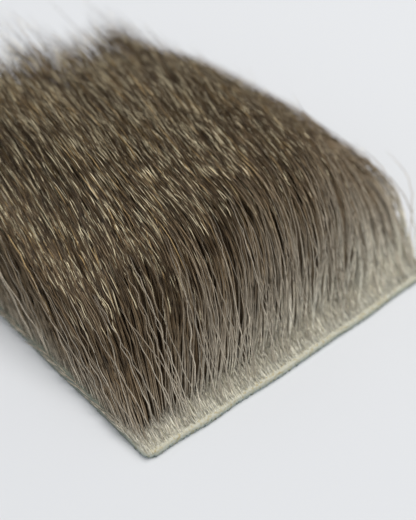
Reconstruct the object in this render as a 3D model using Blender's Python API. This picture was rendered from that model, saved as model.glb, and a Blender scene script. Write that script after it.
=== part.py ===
"""A patch of tanned deer hide with the hair on, lying flat with its flesh side down.

Two pieces: the skin, and the coat of hair that grows from it. The hair leans back
along +Y, so that its tips overhang the rear edge. The coat is one lumpy body whose
walls follow the hairs, with tapered locks of tips that stand out round its rim.

Metres, +Z up. The origin is under the middle of the skin, on the surface it lies on.
"""

import math
import random
from collections import namedtuple

import bmesh
import bpy
from mathutils import Vector, noise

MM = 0.001

# The skin
HIDE_WIDTH = 48.0 * MM
HIDE_DEPTH = 39.2 * MM
HIDE_THICKNESS = 1.1 * MM
CORNER_RADIUS = 1.0 * MM
CORNER_STEPS = 5
EDGE_STEP = 2.0 * MM
EDGE_WAVER = 0.25 * MM
EDGE_WAVE_LENGTH = 7.0 * MM
GRAIN_ROUNDING = 0.2 * MM

# The coat of hair
HAIR_LENGTH = 25.0 * MM
LONGER_TO_LEFT = 0.15
HEADING_DEGREES = 5.5
LEAST_RISE_DEGREES = 20.0
ROOT_MARGIN = 0.5 * MM
PILE_GAP = 0.3 * MM
CURVE_STEPS = 24

# How steeply a hair rises from the surface, at shares of its length from the root
Rise = namedtuple("Rise", "share degrees")
RISES = (
    Rise(share=0.00, degrees=56.0),
    Rise(share=0.14, degrees=64.0),
    Rise(share=0.40, degrees=72.5),
    Rise(share=0.70, degrees=44.0),
    Rise(share=1.00, degrees=16.0),
)

# Hairs near an edge have no neighbours to lean on, so they lie lower, more and more
# up to LAY_SHARE of their length, and those in front splay a little to the right. The
# left edge's part in this fades towards the rear.
LAY_SHARE = 0.27
LEFT_FADE = 0.35
LEFT_FADE_REACH = 30.0 * MM
Edge = namedtuple("Edge", "band lay_degrees splay_degrees shorter")
LEFT = Edge(band=12.0 * MM, lay_degrees=40.0, splay_degrees=4.0, shorter=0.00)
RIGHT = Edge(band=13.0 * MM, lay_degrees=17.0, splay_degrees=-6.0, shorter=0.23)
FRONT = Edge(band=16.0 * MM, lay_degrees=8.0, splay_degrees=4.0, shorter=0.00)
REAR = Edge(band=20.0 * MM, lay_degrees=19.0, splay_degrees=0.0, shorter=0.07)

# The body's grid: cells across, cells front to back and rows up a wall
CELLS_ACROSS = 32
CELLS_DEEP = 26
WALL_ROWS = 8
SLAB_SHARE = 0.81
LUMP_SHARE = 0.04
LUMP_SIZE = 5.5 * MM
FINE_LUMP_SIZE = 2.1 * MM
FINE_LUMP_PART = 0.6

# The furrows and ribs of a wall, which deepen over the first share of the hairs' length
RIDGE_DEPTH = 0.95 * MM
RIDGE_VARIES = 0.9
RIDGE_WAVE_CELLS = 1.64
RIDGE_SHARE = 0.35

# The locks of tips: reaches are shares of a hair's length, and widths are of a cell
RIM_CELLS = 2
INNER_LOCKS = 110
LOCK_REACH_LEAST = 0.90
LOCK_REACH_MOST = 1.06
REAR_LOCKS_LONGER = 0.31
REAR_LOCKS_LEAST_RISE_DEGREES = 7.0
Ring = namedtuple("Ring", "along width")
LOCK_RINGS = (
    Ring(along=0.30, width=0.80),
    Ring(along=0.68, width=0.48),
)
LOCK_SWAY = 0.3 * MM
SEED = 7

HIDE_COLOUR = (0.62, 0.60, 0.50, 1.0)
HAIR_COLOUR = (0.16, 0.13, 0.10, 1.0)


def clear_scene():
    """Removes what the file opened with."""
    for thing in list(bpy.data.objects):
        bpy.data.objects.remove(thing, do_unlink=True)


def make_material(name, colour, roughness):
    """A plain material of one colour."""
    material = bpy.data.materials.new(name)
    material.use_nodes = True
    shader = material.node_tree.nodes["Principled BSDF"]
    shader.inputs["Base Color"].default_value = colour
    shader.inputs["Roughness"].default_value = roughness
    shader.inputs["Metallic"].default_value = 0.0
    return material


def add_object(name, mesh_builder, material):
    """Turns a bmesh into a named object of the scene."""
    mesh = bpy.data.meshes.new(name)
    mesh_builder.to_mesh(mesh)
    mesh_builder.free()
    mesh.materials.append(material)
    mesh.shade_smooth()
    mesh.set_sharp_from_angle(angle=math.radians(35.0))
    thing = bpy.data.objects.new(name, mesh)
    bpy.context.scene.collection.objects.link(thing)
    return thing


def smooth_step(value):
    """0 below 0, 1 above 1, and a soft S between them."""
    held = min(1.0, max(0.0, value))
    return held * held * (3.0 - 2.0 * held)


def outward_at(quarter_turns):
    """The level direction at that many quarter turns from +X."""
    angle = math.radians(90.0 * quarter_turns)
    return Vector((math.cos(angle), math.sin(angle)))


def hide_outline():
    """The cut edge, anticlockwise, as pairs of a point and its way outward.

    Four wavering sides are joined by four small round corners.
    """
    half_width = HIDE_WIDTH / 2 - CORNER_RADIUS
    half_depth = HIDE_DEPTH / 2 - CORNER_RADIUS
    centres = [
        Vector((side_x * half_width, side_y * half_depth))
        for side_x, side_y in ((1, -1), (1, 1), (-1, 1), (-1, -1))
    ]
    outline = []
    for turn, centre in enumerate(centres):
        for step in range(CORNER_STEPS + 1):
            outward = outward_at(turn - 1 + step / CORNER_STEPS)
            outline.append((centre + outward * CORNER_RADIUS, outward))
        next_centre = centres[(turn + 1) % 4]
        side_steps = round((next_centre - centre).length / EDGE_STEP)
        outward = outward_at(turn)
        for step in range(1, side_steps):
            along = centre.lerp(next_centre, step / side_steps)
            waver = noise.noise(Vector((along.x, along.y, 0.0)) / EDGE_WAVE_LENGTH)
            outline.append((along + outward * (CORNER_RADIUS + waver * EDGE_WAVER), outward))
    return outline


def build_hide(material):
    """The skin: a flat sheet with a flat flesh side and a slightly rounded grain side."""
    shape = bmesh.new()
    outline = hide_outline()
    levels = (
        (0.0, 0.0),
        (HIDE_THICKNESS - GRAIN_ROUNDING, 0.0),
        (HIDE_THICKNESS, GRAIN_ROUNDING),
    )
    rings = []
    for height, inset in levels:
        places = [point - outward * inset for point, outward in outline]
        rings.append([shape.verts.new((place.x, place.y, height)) for place in places])
    count = len(outline)
    for low, high in zip(rings, rings[1:]):
        for n in range(count):
            after = (n + 1) % count
            shape.faces.new((low[n], low[after], high[after], high[n]))
    shape.faces.new(reversed(rings[0]))
    shape.faces.new(rings[-1])
    return add_object("hide", shape, material)


def rise_at(share):
    """A hair's rise in degrees at a share of its length, read from the table."""
    for low, high in zip(RISES, RISES[1:]):
        if share <= high.share:
            part = (share - low.share) / (high.share - low.share)
            return low.degrees + (high.degrees - low.degrees) * part
    return RISES[-1].degrees


def hair_point(x, y, share, least_rise=LEAST_RISE_DEGREES):
    """Where a hair rooted at x, y is at that share of its length."""
    near_left = 1.0 - smooth_step((x + HIDE_WIDTH / 2) / LEFT.band)
    near_left *= 1.0 - LEFT_FADE * smooth_step((y + HIDE_DEPTH / 2) / LEFT_FADE_REACH)
    near_right = 1.0 - smooth_step((HIDE_WIDTH / 2 - x) / RIGHT.band)
    near_front = 1.0 - smooth_step((y + HIDE_DEPTH / 2) / FRONT.band)
    near_rear = 1.0 - smooth_step((HIDE_DEPTH / 2 - y) / REAR.band)
    nearness = (
        (near_left, LEFT),
        (near_right, RIGHT),
        (near_front * (1.0 - near_left), FRONT),
        (near_rear * (1.0 - near_left), REAR),
    )
    lay = sum(near * edge.lay_degrees for near, edge in nearness)
    heading = math.radians(HEADING_DEGREES + sum(near * edge.splay_degrees for near, edge in nearness))
    longer = LONGER_TO_LEFT * (0.5 - x / HIDE_WIDTH)
    length = HAIR_LENGTH * (1.0 + longer - sum(near * edge.shorter for near, edge in nearness))
    point = Vector((x, y, HIDE_THICKNESS + PILE_GAP))
    step = share / CURVE_STEPS
    for n in range(CURVE_STEPS):
        middle = (n + 0.5) * step
        degrees = rise_at(middle) - lay * smooth_step(middle / LAY_SHARE)
        rise = math.radians(max(degrees, least_rise))
        level = math.cos(rise)
        direction = Vector((level * math.sin(heading), level * math.cos(heading), math.sin(rise)))
        point += direction * (step * length)
    return point


def root_at(across, deep):
    """The root's place on the skin, from grid steps across and front to back."""
    x = (across / CELLS_ACROSS - 0.5) * (HIDE_WIDTH - 2 * ROOT_MARGIN)
    y = (deep / CELLS_DEEP - 0.5) * (HIDE_DEPTH - 2 * ROOT_MARGIN)
    return x, y


def ridge(step, seed):
    """How far a wall is drawn in at a grid step: a furrow, then a rib that stands out."""
    side = 1.0 if step % 2 else -1.0
    unevenness = noise.noise(Vector((step / RIDGE_WAVE_CELLS, seed, 0.0)))
    return RIDGE_DEPTH * side * (0.75 + RIDGE_VARIES * unevenness)


def slab_share(across, deep):
    """The share of a hair's length at which the body's top lies, with its lumps."""
    x, y = root_at(across, deep)
    lump = noise.noise(Vector((x, y, 0.0)) / LUMP_SIZE)
    fine = noise.noise(Vector((x, y, LUMP_SIZE)) / FINE_LUMP_SIZE)
    return SLAB_SHARE + LUMP_SHARE * (lump + FINE_LUMP_PART * fine)


def body_point(across, deep, row):
    """A point of the body's skin, from its grid steps and its row up the wall."""
    x, y = root_at(across, deep)
    share = slab_share(across, deep) * row / WALL_ROWS
    depth = smooth_step(share / RIDGE_SHARE)
    if deep == 0:
        y += ridge(across, 1.0) * depth
    if deep == CELLS_DEEP:
        y -= ridge(across, 2.0) * depth
    if across == 0:
        x += ridge(deep, 3.0) * depth
    if across == CELLS_ACROSS:
        x -= ridge(deep, 4.0) * depth
    return hair_point(x, y, share)


def lock_cells(chance):
    """The top's cells that grow a lock: every other one of its rim, and some inside it."""
    rim = []
    inner = []
    for across in range(CELLS_ACROSS):
        for deep in range(across % 2, CELLS_DEEP, 2):
            beside = min(across, CELLS_ACROSS - 1 - across, CELLS_DEEP - 1 - deep)
            if beside < RIM_CELLS or deep == 0:
                rim.append((across, deep))
            else:
                inner.append((across, deep))
    return set(rim + chance.sample(inner, INNER_LOCKS))


def grow_lock(shape, corners, across, deep, chance):
    """A four-sided lock that tapers along the hairs of one cell to a point."""
    x, y = root_at(across + 0.5, deep + 0.5)
    start = slab_share(across + 0.5, deep + 0.5)
    reach = chance.uniform(LOCK_REACH_LEAST, LOCK_REACH_MOST)
    least_rise = LEAST_RISE_DEGREES
    if deep >= CELLS_DEEP - RIM_CELLS:
        reach += REAR_LOCKS_LONGER
        least_rise = REAR_LOCKS_LEAST_RISE_DEGREES
    sway = Vector((chance.uniform(-LOCK_SWAY, LOCK_SWAY), 0.0, 0.0))
    foot = hair_point(x, y, start, least_rise)
    middle = sum((corner.co for corner in corners), Vector()) / 4
    below = corners
    for ring in LOCK_RINGS:
        share = start + (reach - start) * ring.along
        shift = hair_point(x, y, share, least_rise) - foot + sway * ring.along
        above = [shape.verts.new(middle + (corner.co - middle) * ring.width + shift) for corner in corners]
        for n in range(4):
            after = (n + 1) % 4
            shape.faces.new((below[n], below[after], above[after], above[n]))
        below = above
    tip = shape.verts.new(middle + hair_point(x, y, reach, least_rise) - foot + sway)
    for n in range(4):
        shape.faces.new((below[n], below[(n + 1) % 4], tip))


def build_pile(material):
    """The coat: a closed body whose walls follow the hairs, and the locks on its top."""
    chance = random.Random(SEED)
    shape = bmesh.new()
    grid = {}
    for across in range(CELLS_ACROSS + 1):
        for deep in range(CELLS_DEEP + 1):
            on_wall = across in (0, CELLS_ACROSS) or deep in (0, CELLS_DEEP)
            rows = range(WALL_ROWS + 1) if on_wall else (WALL_ROWS,)
            for row in rows:
                grid[across, deep, row] = shape.verts.new(body_point(across, deep, row))

    rim_walk = (
        [(n, 0) for n in range(CELLS_ACROSS)]
        + [(CELLS_ACROSS, n) for n in range(CELLS_DEEP)]
        + [(CELLS_ACROSS - n, CELLS_DEEP) for n in range(CELLS_ACROSS)]
        + [(0, CELLS_DEEP - n) for n in range(CELLS_DEEP)]
    )
    for here, after in zip(rim_walk, rim_walk[1:] + rim_walk[:1]):
        for row in range(WALL_ROWS):
            shape.faces.new(
                (grid[(*here, row)], grid[(*after, row)], grid[(*after, row + 1)], grid[(*here, row + 1)])
            )
    shape.faces.new([grid[(*place, 0)] for place in reversed(rim_walk)])

    locks = lock_cells(chance)
    for across in range(CELLS_ACROSS):
        for deep in range(CELLS_DEEP):
            corners = [
                grid[across, deep, WALL_ROWS],
                grid[across + 1, deep, WALL_ROWS],
                grid[across + 1, deep + 1, WALL_ROWS],
                grid[across, deep + 1, WALL_ROWS],
            ]
            if (across, deep) in locks:
                grow_lock(shape, corners, across, deep, chance)
            else:
                shape.faces.new(corners)
    return add_object("pile", shape, material)


def main():
    clear_scene()
    build_hide(make_material("hide", HIDE_COLOUR, 0.85))
    build_pile(make_material("hair", HAIR_COLOUR, 0.6))


main()
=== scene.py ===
"""The looks of a patch of tanned deer hide with the hair on.

Every hair is a closed, tapered, three-sided tube. It follows much the same flow as the
packed coat, so the hairs fill the space that the solid coat holds. A hair's colour runs
from a pale root to a dark shaft and a banded tip, and comes from its UV map alone.

Metres, +Z up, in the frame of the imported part.
"""

import math
from collections import namedtuple

import bpy
import numpy as np
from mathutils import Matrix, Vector, noise


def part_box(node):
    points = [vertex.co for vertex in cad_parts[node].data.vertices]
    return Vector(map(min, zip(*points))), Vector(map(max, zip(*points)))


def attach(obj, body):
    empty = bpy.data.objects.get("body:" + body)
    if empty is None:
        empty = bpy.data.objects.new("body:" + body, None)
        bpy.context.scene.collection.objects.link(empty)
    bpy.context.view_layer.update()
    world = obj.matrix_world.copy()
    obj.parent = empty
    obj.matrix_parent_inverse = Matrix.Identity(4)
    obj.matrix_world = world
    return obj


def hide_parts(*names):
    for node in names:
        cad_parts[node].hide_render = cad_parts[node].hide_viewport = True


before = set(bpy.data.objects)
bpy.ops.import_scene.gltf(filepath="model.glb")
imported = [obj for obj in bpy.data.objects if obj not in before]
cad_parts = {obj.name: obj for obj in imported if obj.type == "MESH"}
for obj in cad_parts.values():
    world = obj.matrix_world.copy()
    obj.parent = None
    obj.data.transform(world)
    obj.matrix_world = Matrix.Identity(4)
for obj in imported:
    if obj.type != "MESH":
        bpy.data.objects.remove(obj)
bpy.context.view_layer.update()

MM = 0.001

# The skin's outline and thickness
HIDE_WIDTH = 48.0 * MM
HIDE_DEPTH = 39.2 * MM
HIDE_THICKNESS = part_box("hide")[1][2]
CORNER_RADIUS = 1.0 * MM
EDGE_WAVER = 0.25 * MM
EDGE_WAVE_LENGTH = 7.0 * MM
FRONT_BOW = 0.45 * MM

# The flow of a full hair: how steeply it rises at shares of its length, and which way
# it heads, in degrees towards +X from +Y
HAIR_LENGTH = 25.0 * MM
LONGER_TO_LEFT = 0.15
HEADING_DEGREES = 5.5
LEAST_RISE_DEGREES = 4.0
CURVE_STEPS = 24
RISE_SHARES = (0.00, 0.14, 0.40, 0.70, 1.00)
RISE_DEGREES = (56.0, 64.0, 72.5, 44.0, 5.0)

# How each edge of the skin lays, splays and shortens the hairs in a band beside it.
# The hairs lie lower more and more up to LAY_SHARE of their length.
LAY_SHARE = 0.07
Edge = namedtuple("Edge", "band lay_degrees splay_degrees shorter")
LEFT = Edge(band=12.0 * MM, lay_degrees=40.0, splay_degrees=4.0, shorter=-0.02)
RIGHT = Edge(band=13.0 * MM, lay_degrees=17.0, splay_degrees=-8.0, shorter=0.25)
FRONT = Edge(band=16.0 * MM, lay_degrees=8.0, splay_degrees=10.5, shorter=0.00)
REAR = Edge(band=20.0 * MM, lay_degrees=19.0, splay_degrees=0.0, shorter=0.07)

# The left edge's part in this fades towards the rear, where hairs left of
# REAR_LONGER_FROM are longer and stand higher
LEFT_FADE = 0.45
LEFT_FADE_REACH = 30.0 * MM
REAR_LONGER_FROM = 7.0 * MM
REAR_LONGER_REACH = 16.0 * MM
REAR_LEFT_LONGER = 0.11
REAR_LEFT_LIFT_DEGREES = 6.5

# Where the coat's hairs are rooted, and where they grow more thinly
ROOT_SINK = 0.12 * MM
ROOT_MARGIN = 0.25 * MM
FRONT_BARE = 0.9 * MM
FRONT_THIN = 2.2 * MM
SIDE_THIN = 0.4 * MM
HAIRS_PER_MM2 = 7.4

# The hairs' radii, as the least and the most, and their taper from root to tip
SHAFT_RADIUS = 0.094 * MM
SHAFT_RADII = (0.78 * SHAFT_RADIUS, 1.12 * SHAFT_RADIUS)
FINE_RADII = (0.5 * SHAFT_RADIUS, 0.8 * SHAFT_RADIUS)
PROFILE_SHARES = (0.00, 0.06, 0.50, 0.75, 0.90, 0.97, 1.00)
PROFILE_WIDTHS = (0.80, 1.00, 1.00, 0.78, 0.48, 0.26, 0.00)
MOST_TRIANGLES = 190000

# The lengths of the coat's hairs, as shares of a full hair
LENGTH_VARIES = 0.11
SHORT_HAIRS = 0.22
SHORT_LENGTHS = (0.62, 0.92)
LENGTH_LIMITS = (0.45, 1.08)

# Clumps: how far apart they stand, how long their hairs are, and how their hairs gather
# and then part again, over shares of a full hair
CLUMP_SPACING = 1.3 * MM
CLUMP_REACH = 0.94
REACH_VARIES = 0.03
REACH_RIPPLE = 0.045
REACH_RIPPLE_LENGTH = 9.0 * MM
REACH_SEED = 41
CLUMP_PULL = 0.82
GATHER_FROM = 0.08
GATHER_OVER = 0.35
TIP_PARTING = 0.95
PARTING_FROM = 0.5
PARTING_OVER = 0.4

# How far clumps and single hairs stray to a side, mostly towards their tips
CLUMP_STRAY = 0.5 * MM
HAIR_STRAY = 0.75 * MM
STRAY_POWER = 1.4
STEADIER_RIGHT = 0.5
HAIR_LEAN = 0.65 * MM
LEAN_OVER = 0.55

# How the walls of the coat bow to the right
SWING = 0.5 * MM
FRONT_SWING = 1.6 * MM
SWING_SPAN = 1.4
SWING_VARIES = 0.4 * MM
SWING_RIPPLE_LENGTH = 16.0 * MM
SWING_SEED = 31
RIGHT_BULGE = 1.8 * MM
RIGHT_BULGE_POWER = 0.7
FRONT_BULGE = 2.3 * MM
FRONT_BULGE_POWER = 0.8

# The waves of the ripple fields, and the range of their lengths
RIPPLE_WAVES = 6
RIPPLE_PITCHES = (0.7, 1.6)

# Hairs near an edge show their whole shafts, so they have more rings than those inside
# and finer waves; bunching above 1 draws the rings towards the root
Tier = namedtuple("Tier", "reach rings bunching waves crimps")
TIERS = (
    Tier(reach=1.5 * MM, rings=34, bunching=1.05, waves=(6.0, 10.0), crimps=(0.06 * MM, 0.17 * MM)),
    Tier(reach=4.0 * MM, rings=11, bunching=0.90, waves=(2.6, 5.0), crimps=(0.05 * MM, 0.16 * MM)),
    Tier(reach=math.inf, rings=8, bunching=0.85, waves=(2.6, 5.0), crimps=(0.04 * MM, 0.12 * MM)),
)

# A hair's own waves fade in from its root and partly out at its tip, and swell between
WAVES_IN_OVER = 0.15
WAVES_OUT_FROM = 0.65
WAVES_OUT_OVER = 0.25
WAVES_OUT = 0.7
WAVES_SWELL = 0.35
SWELLS_PER_WAVE = 0.3
CROSS_WAVES = 0.8

# Where a hair is in its colours: 0 is its pale root and 1 its tip. Plain hairs end
# before the band at the tip, and hairs that stand inside start dark: painted shade in
# the gaps between clumps.
COLOUR_CLASSES = 96
CLASS_INSET = 0.2
PALE_POWER = 1.05
LEAST_POWER = 0.3
PALER_TO_RIGHT = 0.72
# Painted shade: at the left edge, behind the front corner, hairs darken sooner along their shafts
PAINTED_SHADE_LEFT = 0.3
DARK_LEFT_REACH = 9.0 * MM
# Painted shade in the coat's gaps: hairs that stand inside start dark, less so at the right and sooner at
# the left
INNER_SHADE_COLOUR = 0.80
INNER_SHADE_LESS_RIGHT = 0.5
INNER_SHADE_START = 1.2 * MM
INNER_SHADE_BAND = 1.5 * MM
INNER_SHADE_SOONER_LEFT = 0.8 * MM
PLAIN_LEFT = 0.55
PLAIN_FRONT = 0.4
PLAIN_END = 0.82

# The short hairs that lie low along the skin's edges
FRINGE_REACH = 2.1 * MM
FRINGE_RAGGED = (0.4, 1.0)
FRINGE_NARROWER_LEFT = 0.7
FRINGE_WIDTH_RIGHT = 0.6
FRINGE_SPARSER_LEFT = 0.8
FRINGE_PER_MM2 = 44.0
FRINGE_MARGIN = 0.05 * MM
FRINGE_LENGTHS = (1.6 * MM, 4.8 * MM)
FRINGE_LONGER_TO_RIGHT = 0.35
FRINGE_RADIUS = 0.06 * MM
FRINGE_RADII = (0.75 * FRINGE_RADIUS, 1.2 * FRINGE_RADIUS)
FRINGE_RINGS = 3
FRINGE_RISE_DEGREES = (7.0, 24.0)
FRINGE_CURL_DEGREES = 8.0
FRINGE_HEADING_DEGREES = 4.0
FRINGE_STRAY_DEGREES = 7.0
FRINGE_OUT_LEFT_DEGREES = 26.0
FRINGE_COLOUR = 0.16
# Painted shade: fringe hairs at the left edge, behind the front corner, take darker colours
FRINGE_SHADE_LEFT = 0.22

# Single hairs that cross the others in front of the walls: most are rooted in front,
# the next most at the left, and the others at the right
STRAYS = 130
STRAY_RINGS = 26
STRAYS_IN_FRONT = 0.55
STRAYS_TO_LEFT = 0.3
STRAY_DEPTH = 0.6 * MM
STRAY_LENGTHS = (0.55, 0.95)
STRAY_LEAN = 0.4 * MM
STRAY_LEAN_VARIES = 1.8 * MM
STRAY_LEAN_OVER = 0.7
STRAY_FORWARD = 0.45 * MM
STRAY_FORWARD_OVER = 0.2
STRAY_ROOT_COLOUR = 0.22
STRAY_COLOUR_CHANGE = 0.3

# Long fine hairs that stand out of the coat: most are rooted at the rear
WISPS = 190
WISP_RINGS = 14
WISPS_AT_REAR = 0.7
WISP_DEPTH = 9.0 * MM
WISPS_LEFT_POWER = 1.6
WISP_LENGTHS = (1.05, 1.28)
WISP_LONGER_TO_LEFT = 0.06
WISP_LEAN = -0.6 * MM
WISP_LEAN_VARIES = 1.1 * MM
WISP_LIFTS = (0.0, 1.6 * MM)

SEED = 20


def smooth_step(value):
    """0 below 0, 1 above 1, and a soft S between them."""
    held = np.clip(value, 0.0, 1.0)
    return held * held * (3.0 - 2.0 * held)


def near_left(x):
    """1 at the left edge, falling to 0 where its band ends."""
    return 1.0 - smooth_step((x + HIDE_WIDTH / 2) / LEFT.band)


def near_right(x):
    """1 at the right edge, falling to 0 where its band ends."""
    return 1.0 - smooth_step((HIDE_WIDTH / 2 - x) / RIGHT.band)


def near_front(y):
    """1 at the front edge, falling to 0 where its band ends."""
    return 1.0 - smooth_step((y + HIDE_DEPTH / 2) / FRONT.band)


def near_rear(y):
    """1 at the rear edge, falling to 0 where its band ends."""
    return 1.0 - smooth_step((HIDE_DEPTH / 2 - y) / REAR.band)


def left_off_front(x, y):
    """1 at the left edge well behind the front corner, and 0 at the corner."""
    return near_left(x) * smooth_step((y + HIDE_DEPTH / 2) / DARK_LEFT_REACH)


def flow(x, y, share):
    """Where hairs rooted at x, y are at that share of a full hair's length."""
    left = near_left(x) * (1.0 - LEFT_FADE * smooth_step((y + HIDE_DEPTH / 2) / LEFT_FADE_REACH))
    nearness = (
        (left, LEFT),
        (near_right(x), RIGHT),
        (near_front(y) * (1.0 - left), FRONT),
        (near_rear(y) * (1.0 - left), REAR),
    )
    lay = sum(near * edge.lay_degrees for near, edge in nearness)
    heading = np.radians(HEADING_DEGREES + sum(near * edge.splay_degrees for near, edge in nearness))
    longer = LONGER_TO_LEFT * (0.5 - x / HIDE_WIDTH)
    rear_left = near_rear(y) * smooth_step((REAR_LONGER_FROM - x) / REAR_LONGER_REACH) * (1.0 - left)
    longer += REAR_LEFT_LONGER * rear_left
    lay -= REAR_LEFT_LIFT_DEGREES * rear_left
    length = HAIR_LENGTH * (1.0 + longer - sum(near * edge.shorter for near, edge in nearness))
    stride = share * length / CURVE_STEPS
    place = np.stack((x, y, np.full_like(x, HIDE_THICKNESS - ROOT_SINK)), axis=-1)
    for n in range(CURVE_STEPS):
        middle = (n + 0.5) / CURVE_STEPS * share
        rise = np.interp(middle, RISE_SHARES, RISE_DEGREES) - lay * smooth_step(middle / LAY_SHARE)
        rise = np.radians(np.maximum(rise, LEAST_RISE_DEGREES))
        place += stride[..., None] * way_of(heading, rise)
    return place


def way_of(heading, rise):
    """The unit way that heads so far towards +X from +Y and rises so steeply, in radians."""
    level = np.cos(rise)
    return np.stack((level * np.sin(heading), level * np.cos(heading), np.sin(rise)), axis=-1)


def ripple(x, y, wave_length, seed):
    """A smooth uneven field, mostly from -1 to 1, made of sine waves at random angles."""
    chance = np.random.default_rng(seed)
    total = np.zeros_like(x)
    for _ in range(RIPPLE_WAVES):
        angle = chance.uniform(0.0, math.tau)
        pitch = wave_length * chance.uniform(*RIPPLE_PITCHES)
        phase = chance.uniform(0.0, math.tau)
        total += np.sin((x * math.cos(angle) + y * math.sin(angle)) * math.tau / pitch + phase)
    return total / math.sqrt(RIPPLE_WAVES)


def front_bow(x):
    """How far the skin's front edge bows out at a place across it."""
    return FRONT_BOW * (1.0 - (2.0 * x / HIDE_WIDTH) ** 2)


def scattered(spacing, margin, chance):
    """Points spread evenly but unevenly placed over the skin: one in each cell of a grid."""
    width = HIDE_WIDTH - 2 * margin
    depth = HIDE_DEPTH - 2 * margin
    across = max(1, round(width / spacing))
    deep = max(1, round(depth / spacing))
    column, row = np.meshgrid(np.arange(across), np.arange(deep))
    x = (column.ravel() + chance.uniform(0.0, 1.0, across * deep)) / across
    y = (row.ravel() + chance.uniform(0.0, 1.0, across * deep)) / deep
    return (x - 0.5) * width, (y - 0.5) * depth


def spacing_of(per_mm2):
    """How far apart points stand when there are so many on each square millimetre."""
    return math.sqrt(1.0 / per_mm2) * MM


def from_edge(x, y):
    """How far inside the skin's nearest edge a place is, other than its rear edge."""
    return np.minimum(HIDE_WIDTH / 2 - np.abs(x), HIDE_DEPTH / 2 + y)


def nearest(x, y, centre_x, centre_y):
    """The index of the centre that is nearest to each place, worked out in batches."""
    batch = 1000
    found = np.empty(len(x), dtype=int)
    for start in range(0, len(x), batch):
        part = slice(start, start + batch)
        gap_x = x[part, None] - centre_x[None, :]
        gap_y = y[part, None] - centre_y[None, :]
        found[part] = np.argmin(gap_x**2 + gap_y**2, axis=1)
    return found


def between(span, chance, count):
    """Even chances from the span's low end to its high end, with a row for each hair."""
    low, high = span
    return chance.uniform(low, high, count)[:, None]


def tube_points(centres, radii, chance):
    """The points of closed three-sided tubes: hairs x points x 3, each hair's tip last."""
    hairs, rings, _ = centres.shape
    bodies = rings - 1
    tangent = np.gradient(centres, axis=1)
    tangent /= np.linalg.norm(tangent, axis=2, keepdims=True)
    reference = np.array((1.0, 0.0, 0.0))
    first = reference - tangent * (tangent @ reference)[..., None]
    first /= np.linalg.norm(first, axis=2, keepdims=True)
    second = np.cross(tangent, first)
    turn = chance.uniform(0.0, math.tau, hairs)
    corners = []
    for side in range(3):
        angle = turn + side * math.tau / 3
        spoke = np.cos(angle)[:, None, None] * first + np.sin(angle)[:, None, None] * second
        corners.append(centres + spoke * radii[..., None])
    round_points = np.stack(corners, axis=2)[:, :bodies].reshape(hairs, bodies * 3, 3)
    return np.concatenate((round_points, centres[:, -1:]), axis=1)


def tube_faces(bodies):
    """One tube's faces, and the place across its colours and the ring of each face corner.

    Returns the point of each face corner, the corners of each face, and those two.
    """
    low = np.arange(bodies - 1)[:, None] * 3
    side = np.arange(3)[None, :]
    after = (side + 1) % 3
    quads = np.stack((low + side, low + after, low + 3 + after, low + 3 + side), axis=-1).reshape(-1)
    top = (bodies - 1) * 3
    tips = np.stack((top + side[0], top + after[0], np.full(3, bodies * 3)), axis=-1).reshape(-1)
    root = np.array((2, 1, 0))
    corners = np.concatenate((quads, tips, root))
    sizes = np.concatenate((np.full((bodies - 1) * 3, 4), np.full(4, 3)))

    left = np.broadcast_to(side / 3, (bodies - 1, 3))
    right = left + 1 / 3
    quad_u = np.stack((left, right, right, left), axis=-1).reshape(-1)
    tip_u = np.stack((side[0] / 3, side[0] / 3 + 1 / 3, side[0] / 3 + 1 / 6), axis=-1).reshape(-1)
    across = np.concatenate((quad_u, tip_u, (0.0, 0.5, 1.0)))
    ring_of = np.concatenate((quads // 3, np.minimum(tips // 3, bodies), (0, 0, 1)))
    return corners, sizes, across, ring_of


def tube_object(name, centres, radii, along, classes, chance):
    """One mesh of closed three-sided tubes.

    centres is hairs x rings x 3, radii is hairs x rings with the last at a point, along
    is the colour's place along each hair, and classes is each hair's column of colours.
    """
    points = tube_points(centres, radii, chance)
    hairs, count, _ = points.shape
    corners, sizes, across, ring_of = tube_faces(centres.shape[1] - 1)
    column = (classes + CLASS_INSET) / COLOUR_CLASSES
    width = (1.0 - 2 * CLASS_INSET) / COLOUR_CLASSES
    uv = np.stack((column[:, None] + width * across[None, :], along[:, ring_of]), axis=-1)

    mesh = bpy.data.meshes.new(name)
    mesh.vertices.add(hairs * count)
    mesh.vertices.foreach_set("co", points.astype(np.float32).ravel())
    shift = np.arange(hairs)[:, None] * count
    every_corner = (corners[None, :] + shift).astype(np.int32).ravel()
    every_size = np.tile(sizes, hairs).astype(np.int32)
    mesh.loops.add(len(every_corner))
    mesh.loops.foreach_set("vertex_index", every_corner)
    mesh.polygons.add(len(every_size))
    starts = np.concatenate(((0,), np.cumsum(every_size)[:-1])).astype(np.int32)
    mesh.polygons.foreach_set("loop_start", starts)
    mesh.update(calc_edges=True)
    mesh.uv_layers.new(name="OFBake").data.foreach_set("uv", uv.astype(np.float32).ravel())
    mesh.shade_smooth()
    thing = bpy.data.objects.new(name, mesh)
    bpy.context.scene.collection.objects.link(thing)
    return thing


def triangles_of(rings):
    """How many triangles a hair of that many rings has."""
    return 6 * (rings - 1) - 2


def hair_piece(name, centres, radii, along, classes, chance, material):
    """A piece of the coat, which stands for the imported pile."""
    piece = tube_object(name, centres, radii, along, classes, chance)
    piece.data.materials.append(material)
    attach(piece, "root")
    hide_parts("pile")
    return piece


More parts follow.
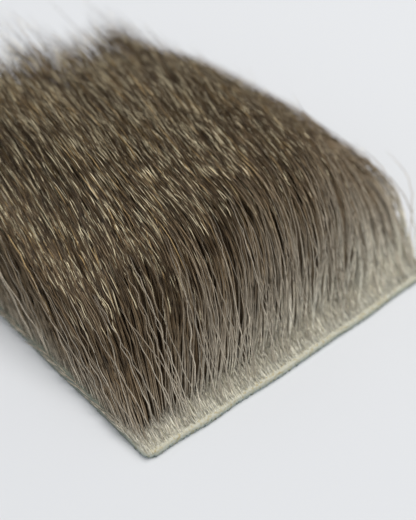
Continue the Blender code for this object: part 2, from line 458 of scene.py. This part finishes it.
def waves(share, tier, chance):
    """The level offsets of hairs' own waves."""
    count = len(share)
    size = between(tier.crimps, chance, count) * smooth_step(share / WAVES_IN_OVER)
    size = size * (1.0 - WAVES_OUT * smooth_step((share - WAVES_OUT_FROM) / WAVES_OUT_OVER))
    turns = between(tier.waves, chance, count) * share
    swell_phase = between((0.0, 1.0), chance, count)
    swell = 1.0 - WAVES_SWELL + WAVES_SWELL * np.sin(math.tau * (SWELLS_PER_WAVE * turns + swell_phase))
    offset_x = size * swell * np.sin(math.tau * (turns + between((0.0, 1.0), chance, count)))
    offset_y = size * swell * np.sin(math.tau * (CROSS_WAVES * turns + between((0.0, 1.0), chance, count)))
    return offset_x, offset_y


def tapered(radii, part, count, chance):
    """The hairs' radii at their rings, for thickest radii in that span."""
    return between(radii, chance, count) * np.interp(part, PROFILE_SHARES, PROFILE_WIDTHS)


def colour_places(x, y, part):
    """Where in the hair's colours each ring is.

    The pale part is longer to the right and, as painted shade, shorter at the left edge
    behind the front corner. Hairs that stand well inside have little of it, as painted
    shade in the gaps between clumps.
    """
    # painted shade at the left edge lowers the power, so the pale part there is shorter
    power = PALE_POWER + PALER_TO_RIGHT * x / (HIDE_WIDTH / 2) - PAINTED_SHADE_LEFT * left_off_front(x, y)
    # Painted shade: hairs that stand well inside start at a dark place, which darkens the gaps between
    # clumps
    inside = np.minimum(from_edge(x, y - FRONT_BARE), HIDE_DEPTH / 2 - y)
    start = INNER_SHADE_START - INNER_SHADE_SOONER_LEFT * near_left(x)
    inner_shade = INNER_SHADE_COLOUR * (1.0 - INNER_SHADE_LESS_RIGHT * near_right(x))
    least = inner_shade * smooth_step((inside - start) / INNER_SHADE_BAND)
    return np.maximum(part ** np.maximum(power, LEAST_POWER)[:, None], least[:, None])


Clumps = namedtuple("Clumps", "x y stray_x stray_y reach")


def make_clumps(chance):
    """Where the clumps stand, which way each strays and how long its hairs are."""
    x, y = scattered(CLUMP_SPACING, ROOT_MARGIN, chance)
    count = len(x)
    stray_x = chance.normal(0.0, CLUMP_STRAY, count)
    stray_y = chance.normal(0.0, CLUMP_STRAY, count)
    reach = CLUMP_REACH + REACH_RIPPLE * ripple(x, y, REACH_RIPPLE_LENGTH, REACH_SEED)
    reach += chance.normal(0.0, REACH_VARIES, count)
    return Clumps(x, y, stray_x, stray_y, reach)


def coat_lengths(member, clumps, chance):
    """How long each of the coat's hairs is, as a share of a full hair."""
    count = len(member)
    length = clumps.reach[member] + chance.normal(0.0, LENGTH_VARIES, count)
    short = chance.uniform(0.0, 1.0, count) < SHORT_HAIRS
    length = np.where(short, length * chance.uniform(*SHORT_LENGTHS, count), length)
    return np.clip(length, *LENGTH_LIMITS)


def bend(share, power):
    """A bend to one side: 0 at root and tip, and most nearer the root for a lower power."""
    return np.sin(math.pi * np.clip(share, 0.0, 1.0) ** power)


def coat_offsets(x, y, share, member, clumps, tier, chance):
    """How far the coat's hairs are moved in x and in y off their own flow."""
    count = len(x)
    right = near_right(x)
    front = near_front(y)
    gather = CLUMP_PULL * smooth_step((share - GATHER_FROM) / GATHER_OVER)
    gather *= 1.0 - TIP_PARTING * smooth_step((share - PARTING_FROM) / PARTING_OVER)
    spread = share**STRAY_POWER * (1.0 - STEADIER_RIGHT * right)[:, None]
    offset_x, offset_y = waves(share, tier, chance)
    offset_x += (clumps.x[member] - x)[:, None] * gather + clumps.stray_x[member][:, None] * spread
    offset_y += (clumps.y[member] - y)[:, None] * gather + clumps.stray_y[member][:, None] * spread
    offset_x += chance.normal(0.0, HAIR_STRAY, count)[:, None] * spread
    offset_y += chance.normal(0.0, HAIR_STRAY, count)[:, None] * spread
    offset_x += chance.normal(0.0, HAIR_LEAN, count)[:, None] * smooth_step(share / LEAN_OVER)
    swing = SWING + FRONT_SWING * front * (1.0 - right)
    swing += SWING_VARIES * ripple(x, y, SWING_RIPPLE_LENGTH, SWING_SEED)
    offset_x += swing[:, None] * np.sin(math.pi / SWING_SPAN * np.clip(share, 0.0, SWING_SPAN))
    offset_x += RIGHT_BULGE * right[:, None] * bend(share, RIGHT_BULGE_POWER)
    bulge = FRONT_BULGE * front * (1.0 - right) * (1.0 - near_left(x))
    offset_x += bulge[:, None] * bend(share, FRONT_BULGE_POWER)
    return offset_x, offset_y


def coat_hairs(x, y, tier, chance, clumps):
    """The centres, radii and colour places of the coat's own hairs, gathered in clumps."""
    count = len(x)
    part = np.linspace(0.0, 1.0, tier.rings)[None, :] ** tier.bunching
    member = nearest(x, y, clumps.x, clumps.y)
    share = coat_lengths(member, clumps, chance)[:, None] * part
    offset_x, offset_y = coat_offsets(x, y, share, member, clumps, tier, chance)
    centres = flow(x[:, None] + offset_x, y[:, None] + offset_y, share)
    radii = tapered(SHAFT_RADII, part, count, chance)
    plain_share = np.maximum(PLAIN_LEFT * near_left(x), PLAIN_FRONT * near_front(y))
    plain = plain_share > chance.uniform(0.0, 1.0, count)
    along = colour_places(x, y, part) * np.where(plain, PLAIN_END, 1.0)[:, None]
    return centres, radii, along


def coat_roots(chance):
    """Where the coat's hairs are rooted."""
    x, y = scattered(spacing_of(HAIRS_PER_MM2), ROOT_MARGIN, chance)
    from_front = smooth_step((HIDE_DEPTH / 2 + y - FRONT_BARE) / FRONT_THIN)
    from_side = smooth_step((HIDE_WIDTH / 2 - np.abs(x)) / SIDE_THIN)
    grown = np.minimum(from_front, from_side) > chance.uniform(0.0, 1.0, len(x))
    return x[grown], y[grown]


def build_coat(material, chance):
    """All the coat's own hairs, in pieces: each tier's hairs from the front to the rear."""
    x, y = coat_roots(chance)
    clumps = make_clumps(chance)
    inside = from_edge(x, y)
    pieces = []
    nearer = 0.0
    for tier in TIERS:
        chosen = np.flatnonzero((inside >= nearer) & (inside < tier.reach))
        nearer = tier.reach
        hairs = coat_hairs(x[chosen], y[chosen], tier, chance, clumps)
        classes = chance.integers(0, COLOUR_CLASSES, len(chosen))
        groups = math.ceil(len(chosen) * triangles_of(tier.rings) / MOST_TRIANGLES)
        for group in np.array_split(np.argsort(y[chosen]), groups):
            name = f"coat_{len(pieces) + 1}"
            centres, radii, along = (values[group] for values in hairs)
            pieces.append(hair_piece(name, centres, radii, along, classes[group], chance, material))
    return pieces


def fringe_roots(chance):
    """Where the fringe's hairs are rooted: in a ragged strip, which is thinner at the left."""
    x, y = scattered(spacing_of(FRINGE_PER_MM2), FRINGE_MARGIN, chance)
    at_left = left_off_front(x, y)
    at_right = (x > 0.0) & (HIDE_WIDTH / 2 - x < HIDE_DEPTH / 2 + y)
    reach = FRINGE_REACH * (1.0 - FRINGE_NARROWER_LEFT * at_left)
    reach *= np.where(at_right, FRINGE_WIDTH_RIGHT, 1.0)
    chosen = from_edge(x, y) < reach * chance.uniform(*FRINGE_RAGGED, len(x))
    chosen &= FRINGE_SPARSER_LEFT * at_left < chance.uniform(0.0, 1.0, len(x))
    return x[chosen], y[chosen], at_left[chosen]


def build_fringe(material, chance):
    """The short pale hairs that lie low along the skin's edges."""
    x, y, at_left = fringe_roots(chance)
    count = len(x)
    part = np.linspace(0.0, 1.0, FRINGE_RINGS)[None, :]
    longer = 1.0 + FRINGE_LONGER_TO_RIGHT * x / (HIDE_WIDTH / 2)
    length = between(FRINGE_LENGTHS, chance, count) * longer[:, None]
    rise = np.radians(between(FRINGE_RISE_DEGREES, chance, count) + FRINGE_CURL_DEGREES * part)
    heading = chance.normal(FRINGE_HEADING_DEGREES, FRINGE_STRAY_DEGREES, count)
    heading = np.radians(heading - FRINGE_OUT_LEFT_DEGREES * at_left)[:, None]
    y = y - front_bow(x) * (1.0 - smooth_step((y + HIDE_DEPTH / 2) / FRINGE_REACH))
    root = np.stack((x, y, np.full(count, HIDE_THICKNESS - ROOT_SINK)), axis=-1)
    centres = root[:, None, :] + (length * part)[..., None] * way_of(heading, rise)
    radii = tapered(FRINGE_RADII, part, count, chance)
    # painted shade: darker colours for fringe hairs at the left edge
    along = FRINGE_COLOUR * part + FRINGE_SHADE_LEFT * at_left[:, None]
    classes = chance.integers(0, COLOUR_CLASSES, count)
    return hair_piece("fringe", centres, radii, along, classes, chance, material)


def build_strays(material, chance):
    """Single hairs that lie across the walls of the coat, in front of the others."""
    side = chance.uniform(0.0, 1.0, STRAYS)
    edge = ROOT_MARGIN + chance.uniform(0.0, STRAY_DEPTH, STRAYS)
    half_width = HIDE_WIDTH / 2 - edge
    half_depth = HIDE_DEPTH / 2 - edge
    even = chance.uniform(-1.0, 1.0, STRAYS)
    in_front = side < STRAYS_IN_FRONT
    to_left = side < STRAYS_IN_FRONT + STRAYS_TO_LEFT
    x = np.where(in_front, even * half_width, np.where(to_left, -half_width, half_width))
    y = np.where(in_front, -half_depth, even * half_depth)
    part = np.linspace(0.0, 1.0, STRAY_RINGS)[None, :]
    share = between(STRAY_LENGTHS, chance, STRAYS) * part
    offset_x, offset_y = waves(share, TIERS[0], chance)
    lean = chance.normal(STRAY_LEAN, STRAY_LEAN_VARIES, STRAYS)[:, None]
    offset_x += lean * smooth_step(share / STRAY_LEAN_OVER)
    offset_y -= STRAY_FORWARD * smooth_step(share / STRAY_FORWARD_OVER)
    centres = flow(x[:, None] + offset_x, y[:, None] + offset_y, share)
    radii = tapered(FINE_RADII, part, STRAYS, chance)
    along = np.broadcast_to(STRAY_ROOT_COLOUR + STRAY_COLOUR_CHANGE * part, radii.shape)
    classes = chance.integers(0, COLOUR_CLASSES, STRAYS)
    return hair_piece("strays", centres, radii, along, classes, chance, material)


def build_wisps(material, chance):
    """Long fine hairs that stand out beyond the tips of the others at the rear and right."""
    at_rear = chance.uniform(0.0, 1.0, WISPS) < WISPS_AT_REAR
    near = chance.uniform(0.0, WISP_DEPTH, WISPS)
    even = chance.uniform(-1.0, 1.0, WISPS)
    more_left = 2.0 * (0.5 + 0.5 * even) ** WISPS_LEFT_POWER - 1.0
    x = np.where(at_rear, more_left * HIDE_WIDTH / 2, HIDE_WIDTH / 2 - ROOT_MARGIN - near)
    y = np.where(at_rear, HIDE_DEPTH / 2 - ROOT_MARGIN - near, even * HIDE_DEPTH / 2)
    x = np.clip(x, ROOT_MARGIN - HIDE_WIDTH / 2, HIDE_WIDTH / 2 - ROOT_MARGIN)
    y = np.clip(y, ROOT_MARGIN - HIDE_DEPTH / 2, HIDE_DEPTH / 2 - ROOT_MARGIN)
    part = np.linspace(0.0, 1.0, WISP_RINGS)[None, :]
    longer = 1.0 + WISP_LONGER_TO_LEFT - WISP_LONGER_TO_LEFT * x / (HIDE_WIDTH / 2)
    share = between(WISP_LENGTHS, chance, WISPS) * longer[:, None] * part
    offset_x, offset_y = waves(share, TIERS[1], chance)
    offset_x += chance.normal(WISP_LEAN, WISP_LEAN_VARIES, WISPS)[:, None] * share**2
    centres = flow(x[:, None] + offset_x, y[:, None] + offset_y, share)
    centres[..., 2] += between(WISP_LIFTS, chance, WISPS) * share**2
    radii = tapered(FINE_RADII, part, WISPS, chance)
    classes = chance.integers(0, COLOUR_CLASSES, WISPS)
    return hair_piece("wisps", centres, radii, colour_places(x, y, part), classes, chance, material)


def linear(red, green, blue):
    """A colour of 0 to 255 parts, as a shader reads it."""
    parts = [part / 255 for part in (red, green, blue)]
    return [part / 12.92 if part <= 0.04045 else ((part + 0.055) / 1.055) ** 2.4 for part in parts] + [1.0]


def new_material(name):
    """A new node material, with its tree and its shader."""
    material = bpy.data.materials.new(name)
    material.use_nodes = True
    tree = material.node_tree
    return material, tree, tree.nodes["Principled BSDF"]


def ramp_node(tree, factor, stops):
    """A colour ramp with stops of (place, (red, green, blue))."""
    node = tree.nodes.new("ShaderNodeValToRGB")
    elements = node.color_ramp.elements
    while len(elements) < len(stops):
        elements.new(0.5)
    for element, (place, colour) in zip(elements, stops):
        element.position = place
        element.color = linear(*colour)
    tree.links.new(factor, node.inputs["Fac"])
    return node.outputs["Color"]


def math_node(tree, operation, first, second=0.0, third=0.0):
    """A math node's result; each input is a socket or a number."""
    node = tree.nodes.new("ShaderNodeMath")
    node.operation = operation
    for socket, value in zip(node.inputs, (first, second, third)):
        if isinstance(value, (int, float)):
            socket.default_value = value
        else:
            tree.links.new(value, socket)
    return node.outputs["Value"]


def mix_node(tree, factor, first, second, blend="MIX"):
    """A mix of two colours; each input is a socket or a value."""
    node = tree.nodes.new("ShaderNodeMix")
    node.data_type = "RGBA"
    node.blend_type = blend
    for name, value in (("Factor_Float", factor), ("A_Color", first), ("B_Color", second)):
        socket = next(s for s in node.inputs if s.identifier == name)
        if isinstance(value, bpy.types.NodeSocket):
            tree.links.new(value, socket)
        else:
            socket.default_value = value
    return next(s for s in node.outputs if s.identifier == "Result_Color")


def past(tree, value, start, blend):
    """0 up to the start and 1 from a blend past it; a blend below 0 goes the other way."""
    result = math_node(tree, "MULTIPLY_ADD", value, 1.0 / blend, -start / blend)
    result.node.use_clamp = True
    return result


def class_random(tree, hair_class, seed):
    """A random number from 0 to 1 for each class of hair."""
    node = tree.nodes.new("ShaderNodeTexWhiteNoise")
    node.noise_dimensions = "1D"
    tree.links.new(math_node(tree, "ADD", hair_class, seed), node.inputs["W"])
    return node.outputs["Value"]


# A hair's colours at places along it, and the places from which the tips' colours hold
SHAFT_COLOURS = (
    (0.00, (244, 240, 222)),
    (0.12, (238, 232, 214)),
    (0.24, (210, 200, 181)),
    (0.40, (180, 167, 147)),
    (0.58, (156, 138, 113)),
    (0.70, (131, 110, 82)),
    # The dark stop at 0.80 is a dark band on every shaft, and also where hairs inside start: painted shade
    # in the gaps between clumps
    (0.80, (66, 52, 36)),
    (0.87, (97, 78, 53)),
    (1.00, (109, 87, 54)),
)
TAN_TIP_COLOURS = (
    (0.87, (88, 69, 44)),
    (0.885, (229, 213, 176)),
    (0.93, (233, 218, 182)),
    (0.945, (118, 100, 76)),
    (1.00, (80, 65, 47)),
)
GOLDEN_TIP_COLOURS = (
    (0.78, (112, 94, 70)),
    (0.85, (186, 156, 108)),
    (0.94, (194, 166, 118)),
    (1.00, (138, 114, 82)),
)
TAN_TIP_FROM = 0.8
GOLDEN_TIP_FROM = 0.76

# The shares of hairs with each tip, and how far a class's colours are shifted
TAN_HAIRS = 0.7
GOLDEN_HAIRS = 0.08
COLOUR_SHIFT = 0.22

# The spread of the classes' brightness, with few bright ones, and the glints along them
DARK_SKEW = 1.4
BRIGHTNESS_SPREAD = 0.62
LEAST_BRIGHTNESS = 0.235
GLINTS = 26.0
GLINT_CLASS_STEP = 17.3
GLINT_DETAIL = 1.0

HAIR_ROUGHNESS = 0.45
HAIR_ROUGHNESS_SPREAD = 0.2
HAIR_SPECULAR = 0.35

# One seed for each way in which the classes of hair differ
SHIFT_SEED = 0.37
KIND_SEED = 5.13
BRIGHTNESS_SEED = 9.71
ROUGHNESS_SEED = 2.29


def hair_colour(tree, hair_class, along):
    """The colour at a place along a hair: its shaft's, or its tan or golden tip's."""
    shift = math_node(tree, "SUBTRACT", class_random(tree, hair_class, SHIFT_SEED), 0.5)
    shift = math_node(tree, "MULTIPLY", shift, along)
    shifted = math_node(tree, "MULTIPLY_ADD", shift, COLOUR_SHIFT, along)
    kind = class_random(tree, hair_class, KIND_SEED)
    at_tip = math_node(tree, "GREATER_THAN", shifted, TAN_TIP_FROM)
    is_tan = math_node(tree, "MULTIPLY", math_node(tree, "LESS_THAN", kind, TAN_HAIRS), at_tip)
    shaft = ramp_node(tree, shifted, SHAFT_COLOURS)
    colour = mix_node(tree, is_tan, shaft, ramp_node(tree, shifted, TAN_TIP_COLOURS))
    is_golden = math_node(tree, "GREATER_THAN", kind, 1.0 - GOLDEN_HAIRS)
    past_shaft = math_node(tree, "GREATER_THAN", shifted, GOLDEN_TIP_FROM)
    is_golden = math_node(tree, "MULTIPLY", is_golden, past_shaft)
    return mix_node(tree, is_golden, colour, ramp_node(tree, shifted, GOLDEN_TIP_COLOURS))


def hair_brightness(tree, hair_class, along):
    """How bright a place along a hair is: its class's own brightness, with glints."""
    glints = tree.nodes.new("ShaderNodeTexNoise")
    glints.noise_dimensions = "1D"
    glints.inputs["Scale"].default_value = 1.0
    glints.inputs["Detail"].default_value = GLINT_DETAIL
    class_start = math_node(tree, "MULTIPLY", hair_class, GLINT_CLASS_STEP)
    glint_place = math_node(tree, "MULTIPLY_ADD", along, GLINTS, class_start)
    tree.links.new(glint_place, glints.inputs["W"])
    skewed = math_node(tree, "POWER", class_random(tree, hair_class, BRIGHTNESS_SEED), DARK_SKEW)
    brightness = math_node(tree, "MULTIPLY_ADD", skewed, BRIGHTNESS_SPREAD, LEAST_BRIGHTNESS)
    return math_node(tree, "ADD", brightness, glints.outputs["Fac"])


def hair_material():
    """Hair: a pale root, a grey-brown shaft that darkens, and a plain, tan or golden tip."""
    material, tree, shader = new_material("hair")
    uv = tree.nodes.new("ShaderNodeUVMap")
    uv.uv_map = "OFBake"
    parts = tree.nodes.new("ShaderNodeSeparateXYZ")
    tree.links.new(uv.outputs["UV"], parts.inputs["Vector"])
    hair_class = math_node(tree, "FLOOR", math_node(tree, "MULTIPLY", parts.outputs["X"], COLOUR_CLASSES))
    along = parts.outputs["Y"]

    tone = tree.nodes.new("ShaderNodeHueSaturation")
    tree.links.new(hair_brightness(tree, hair_class, along), tone.inputs["Value"])
    tree.links.new(hair_colour(tree, hair_class, along), tone.inputs["Color"])
    tree.links.new(tone.outputs["Color"], shader.inputs["Base Color"])
    spread = class_random(tree, hair_class, ROUGHNESS_SEED)
    roughness = math_node(tree, "MULTIPLY_ADD", spread, HAIR_ROUGHNESS_SPREAD, HAIR_ROUGHNESS)
    tree.links.new(roughness, shader.inputs["Roughness"])
    shader.inputs["Specular IOR Level"].default_value = HAIR_SPECULAR
    return material


def hide_outline(step):
    """The skin's cut edge, anticlockwise, as arrays of points and of ways outward."""
    half_width = HIDE_WIDTH / 2 - CORNER_RADIUS
    half_depth = HIDE_DEPTH / 2 - CORNER_RADIUS
    centres = [
        Vector((side_x * half_width, side_y * half_depth))
        for side_x, side_y in ((1, -1), (1, 1), (-1, 1), (-1, -1))
    ]
    corner_steps = round(CORNER_RADIUS * math.pi / 2 / step)
    points = []
    ways = []
    for turn, centre in enumerate(centres):
        for n in range(corner_steps + 1):
            angle = math.pi / 2 * (turn - 1 + n / corner_steps)
            outward = Vector((math.cos(angle), math.sin(angle)))
            points.append(centre + outward * CORNER_RADIUS)
            ways.append(outward)
        faces_front = outward.y < -0.5
        next_centre = centres[(turn + 1) % 4]
        side_steps = round((next_centre - centre).length / step)
        for n in range(1, side_steps):
            along = centre.lerp(next_centre, n / side_steps)
            waver = noise.noise(Vector((along.x, along.y, 0.0)) / EDGE_WAVE_LENGTH)
            bow = front_bow(along.x) if faces_front else 0.0
            points.append(along + outward * (CORNER_RADIUS + waver * EDGE_WAVER + bow))
            ways.append(outward)
    return np.array(points), np.array(ways)


# The skin's rings, in millimetres, for a skin of RING_THICKNESS: from the flesh side up
# the cut edge and in over the grain
SkinRing = namedtuple("SkinRing", "height inset rough")
SKIN_RINGS = (
    SkinRing(height=0.00, inset=3.00, rough=0.00),
    SkinRing(height=0.00, inset=0.30, rough=0.00),
    SkinRing(height=0.00, inset=0.06, rough=0.05),
    SkinRing(height=0.10, inset=0.00, rough=0.13),
    SkinRing(height=0.25, inset=0.03, rough=0.14),
    SkinRing(height=0.42, inset=0.00, rough=0.13),
    SkinRing(height=0.58, inset=0.04, rough=0.12),
    SkinRing(height=0.74, inset=0.01, rough=0.10),
    SkinRing(height=0.90, inset=0.04, rough=0.05),
    SkinRing(height=1.03, inset=0.08, rough=0.04),
    SkinRing(height=1.08, inset=0.18, rough=0.06),
    SkinRing(height=1.10, inset=0.42, rough=0.06),
    SkinRing(height=1.10, inset=0.70, rough=0.03),
    SkinRing(height=1.09, inset=1.00, rough=0.03),
    SkinRing(height=1.09, inset=1.50, rough=0.02),
    SkinRing(height=1.08, inset=3.00, rough=0.00),
)
RING_THICKNESS = 1.1 * MM
SKIN_STEP = 0.14 * MM
FIBRE_SIZE = 0.3 * MM
OUTWARD_NOISE_SHIFT = Vector((7.3, 1.9, 4.1))
SHARP_DEGREES = 60.0


def skin_points(points, ways):
    """The skin's points, ring by ring, with the roughness of its fibres."""
    scale = HIDE_THICKNESS / RING_THICKNESS
    vertices = []
    for ring in SKIN_RINGS:
        places = points - ways * ring.inset * MM
        height = ring.height * MM * scale
        for place, way in zip(places, ways):
            spot = Vector((place[0], place[1], height)) / FIBRE_SIZE
            lift = noise.noise(spot) * ring.rough * MM
            out = noise.noise(spot + OUTWARD_NOISE_SHIFT) * ring.rough * MM
            level = height if height == 0.0 else height + lift
            vertices.append((place[0] + way[0] * out, place[1] + way[1] * out, level))
    return vertices


def build_skin(material):
    """The tanned skin: a thin sheet with a fibrous cut edge and a bare margin of grain."""
    points, ways = hide_outline(SKIN_STEP)
    count = len(points)
    last = (len(SKIN_RINGS) - 1) * count
    faces = []
    for low in range(0, last, count):
        high = low + count
        for m in range(count):
            after = (m + 1) % count
            faces.append((low + m, low + after, high + after, high + m))
    faces.append(tuple(reversed(range(count))))
    faces.append(tuple(range(last, last + count)))
    mesh = bpy.data.meshes.new("skin")
    mesh.from_pydata(skin_points(points, ways), [], faces)
    mesh.shade_smooth()
    mesh.set_sharp_from_angle(angle=math.radians(SHARP_DEGREES))
    mesh.materials.append(material)
    piece = bpy.data.objects.new("skin", mesh)
    bpy.context.scene.collection.objects.link(piece)
    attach(piece, "root")
    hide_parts("hide")
    return piece


# The skin's colours by height, 0 at the flesh side and 1 at the grain, and what they are
# multiplied with: blotches all over, and marks low on the cut edge
LAYER_COLOURS = (
    (0.00, (180, 189, 192)),
    (0.16, (160, 171, 174)),
    (0.34, (176, 186, 184)),
    (0.52, (202, 207, 196)),
    (0.70, (208, 210, 199)),
    (0.98, (208, 207, 195)),
)
BLOTCH_COLOURS = (
    (0.40, (255, 253, 247)),
    (0.54, (249, 245, 232)),
    (0.68, (230, 213, 176)),
)
MARK_COLOURS = (
    (0.54, (255, 255, 255)),
    (0.62, (150, 160, 162)),
)
MARKS_BELOW = 0.45
LAYER_WANDER = 0.6

# The noises' fineness, for each metre
BLOTCHES_PER_METRE = 2600.0
FIBRES_PER_METRE = 5200.0
MARKS_PER_METRE = 3300.0

# Painted shade on the skin's left edge, behind the near corner: a darker grey-green mixed in
LEFT_EDGE_SHADE = (134, 140, 129)
SHADE_LEFT_OF = -23.0 * MM
SHADE_LEFT_BLEND = -0.8 * MM
SHADE_BEHIND = -18.5 * MM
SHADE_BEHIND_BLEND = 5.0 * MM

SKIN_ROUGHNESS = 0.6
SKIN_ROUGHNESS_SPREAD = 0.3
SKIN_SPECULAR = 0.25
BUMP_STRENGTH = 0.5
BUMP_DISTANCE = 0.1 * MM


def noise_node(tree, vector, scale, detail, roughness=0.5):
    """A noise texture's factor."""
    node = tree.nodes.new("ShaderNodeTexNoise")
    node.inputs["Scale"].default_value = scale
    node.inputs["Detail"].default_value = detail
    node.inputs["Roughness"].default_value = roughness
    tree.links.new(vector, node.inputs["Vector"])
    return node.outputs["Fac"]


def skin_colour(tree, place, parts, fibres):
    """The skin's colour: its layers, marks and blotches, and painted shade on its left edge."""
    height = math_node(tree, "DIVIDE", parts.outputs["Z"], HIDE_THICKNESS)
    wander = math_node(tree, "SUBTRACT", fibres, 0.5)
    level = math_node(tree, "MULTIPLY_ADD", wander, LAYER_WANDER, height)
    layers = ramp_node(tree, level, LAYER_COLOURS)
    marks = ramp_node(tree, noise_node(tree, place, MARKS_PER_METRE, 2.0), MARK_COLOURS)
    is_low = math_node(tree, "LESS_THAN", level, MARKS_BELOW)
    layers = mix_node(tree, is_low, layers, mix_node(tree, 1.0, layers, marks, "MULTIPLY"))
    blotches = ramp_node(tree, noise_node(tree, place, BLOTCHES_PER_METRE, 3.0), BLOTCH_COLOURS)
    colour = mix_node(tree, 1.0, layers, blotches, "MULTIPLY")
    # painted shade: a darker grey-green on the left edge, behind the near corner
    from_left = past(tree, parts.outputs["X"], SHADE_LEFT_OF, SHADE_LEFT_BLEND)
    from_corner = past(tree, parts.outputs["Y"], SHADE_BEHIND, SHADE_BEHIND_BLEND)
    at_left = math_node(tree, "MULTIPLY", from_left, from_corner)
    return mix_node(tree, at_left, colour, linear(*LEFT_EDGE_SHADE))


def skin_material():
    """Tanned skin: cream grain on top, a grey-green cut edge and a pale grey flesh side."""
    material, tree, shader = new_material("skin")
    place = tree.nodes.new("ShaderNodeTexCoord").outputs["Object"]
    parts = tree.nodes.new("ShaderNodeSeparateXYZ")
    tree.links.new(place, parts.inputs["Vector"])
    fibres = noise_node(tree, place, FIBRES_PER_METRE, 4.0, roughness=0.65)
    tree.links.new(skin_colour(tree, place, parts, fibres), shader.inputs["Base Color"])
    roughness = math_node(tree, "MULTIPLY_ADD", fibres, SKIN_ROUGHNESS_SPREAD, SKIN_ROUGHNESS)
    tree.links.new(roughness, shader.inputs["Roughness"])
    shader.inputs["Specular IOR Level"].default_value = SKIN_SPECULAR
    bump = tree.nodes.new("ShaderNodeBump")
    bump.inputs["Strength"].default_value = BUMP_STRENGTH
    bump.inputs["Distance"].default_value = BUMP_DISTANCE
    tree.links.new(fibres, bump.inputs["Height"])
    tree.links.new(bump.outputs["Normal"], shader.inputs["Normal"])
    return material


# The stage and its light
FLOOR_HALF = 1.5
FLOOR_COLOUR = (228, 229, 231)
FLOOR_ROUGHNESS = 0.9
WORLD_COLOUR = (0.93, 0.96, 1.0, 1.0)
WORLD_STRENGTH = 0.505
KEY_PLACE = (0.2, -0.02, 0.65)
KEY_TARGET = (0.0, 0.0, 0.01)
KEY_SIZE = 0.5
KEY_WATTS = 3.1
KEY_COLOUR = (1.0, 0.99, 0.97)


def build_floor():
    """A plain pale floor."""
    half = FLOOR_HALF
    corners = [(-half, -half, 0), (half, -half, 0), (half, half, 0), (-half, half, 0)]
    mesh = bpy.data.meshes.new("floor")
    mesh.from_pydata(corners, [], [(0, 1, 2, 3)])
    material, _, shader = new_material("floor")
    shader.inputs["Base Color"].default_value = linear(*FLOOR_COLOUR)
    shader.inputs["Roughness"].default_value = FLOOR_ROUGHNESS
    mesh.materials.append(material)
    floor = bpy.data.objects.new("floor", mesh)
    bpy.context.scene.collection.objects.link(floor)


def build_light():
    """Even light from all round, and a soft light above the patch, a little to its right."""
    world = bpy.data.worlds.new("studio")
    world.use_nodes = True
    background = world.node_tree.nodes["Background"]
    background.inputs["Color"].default_value = WORLD_COLOUR
    background.inputs["Strength"].default_value = WORLD_STRENGTH
    bpy.context.scene.world = world
    data = bpy.data.lights.new("key", "AREA")
    data.size = KEY_SIZE
    data.energy = KEY_WATTS
    data.color = KEY_COLOUR
    light = bpy.data.objects.new("key", data)
    light.location = KEY_PLACE
    light.rotation_mode = "QUATERNION"
    light.rotation_quaternion = (Vector(KEY_TARGET) - Vector(KEY_PLACE)).to_track_quat("-Z", "Y")
    bpy.context.scene.collection.objects.link(light)
    bpy.context.scene.view_settings.view_transform = "Standard"


# The camera, from the vanishing of the skin's two straight edges in the photograph
NEAR_CORNER = Vector((-HIDE_WIDTH / 2, -HIDE_DEPTH / 2, 0.0))
EYE_FROM_CORNER = Vector((-70.62 * MM, -94.65 * MM, 157.43 * MM))
LOOKS_EAST_OF_NORTH = 40.25
LOOKS_DOWN = 46.0
IMAGE_HEIGHT = 520
FOCAL_PIXELS = 1600.0
SENSOR_SIZE = 36.0
CLIP_START = 0.01
FOCUS_DISTANCE = 199.5 * MM
F_STOP = 16.0


def build_camera():
    """The camera at the photograph's place."""
    data = bpy.data.cameras.new("camera")
    data.sensor_width = SENSOR_SIZE
    data.lens = SENSOR_SIZE * FOCAL_PIXELS / IMAGE_HEIGHT
    data.clip_start = CLIP_START
    data.dof.use_dof = True
    data.dof.focus_distance = FOCUS_DISTANCE
    data.dof.aperture_fstop = F_STOP
    camera = bpy.data.objects.new("camera", data)
    turn = math.radians(LOOKS_EAST_OF_NORTH)
    down = math.radians(LOOKS_DOWN)
    ahead = Vector((math.sin(turn) * math.cos(down), math.cos(turn) * math.cos(down), -math.sin(down)))
    camera.location = NEAR_CORNER + EYE_FROM_CORNER
    camera.rotation_mode = "QUATERNION"
    camera.rotation_quaternion = ahead.to_track_quat("-Z", "Y")
    bpy.context.scene.collection.objects.link(camera)
    bpy.context.scene.camera = camera


build_camera()
build_light()
build_floor()
hair = hair_material()
chance = np.random.default_rng(SEED)
coat = build_coat(hair, chance)
for build in (build_fringe, build_strays, build_wisps):
    coat.append(build(hair, chance))
skin = build_skin(skin_material())
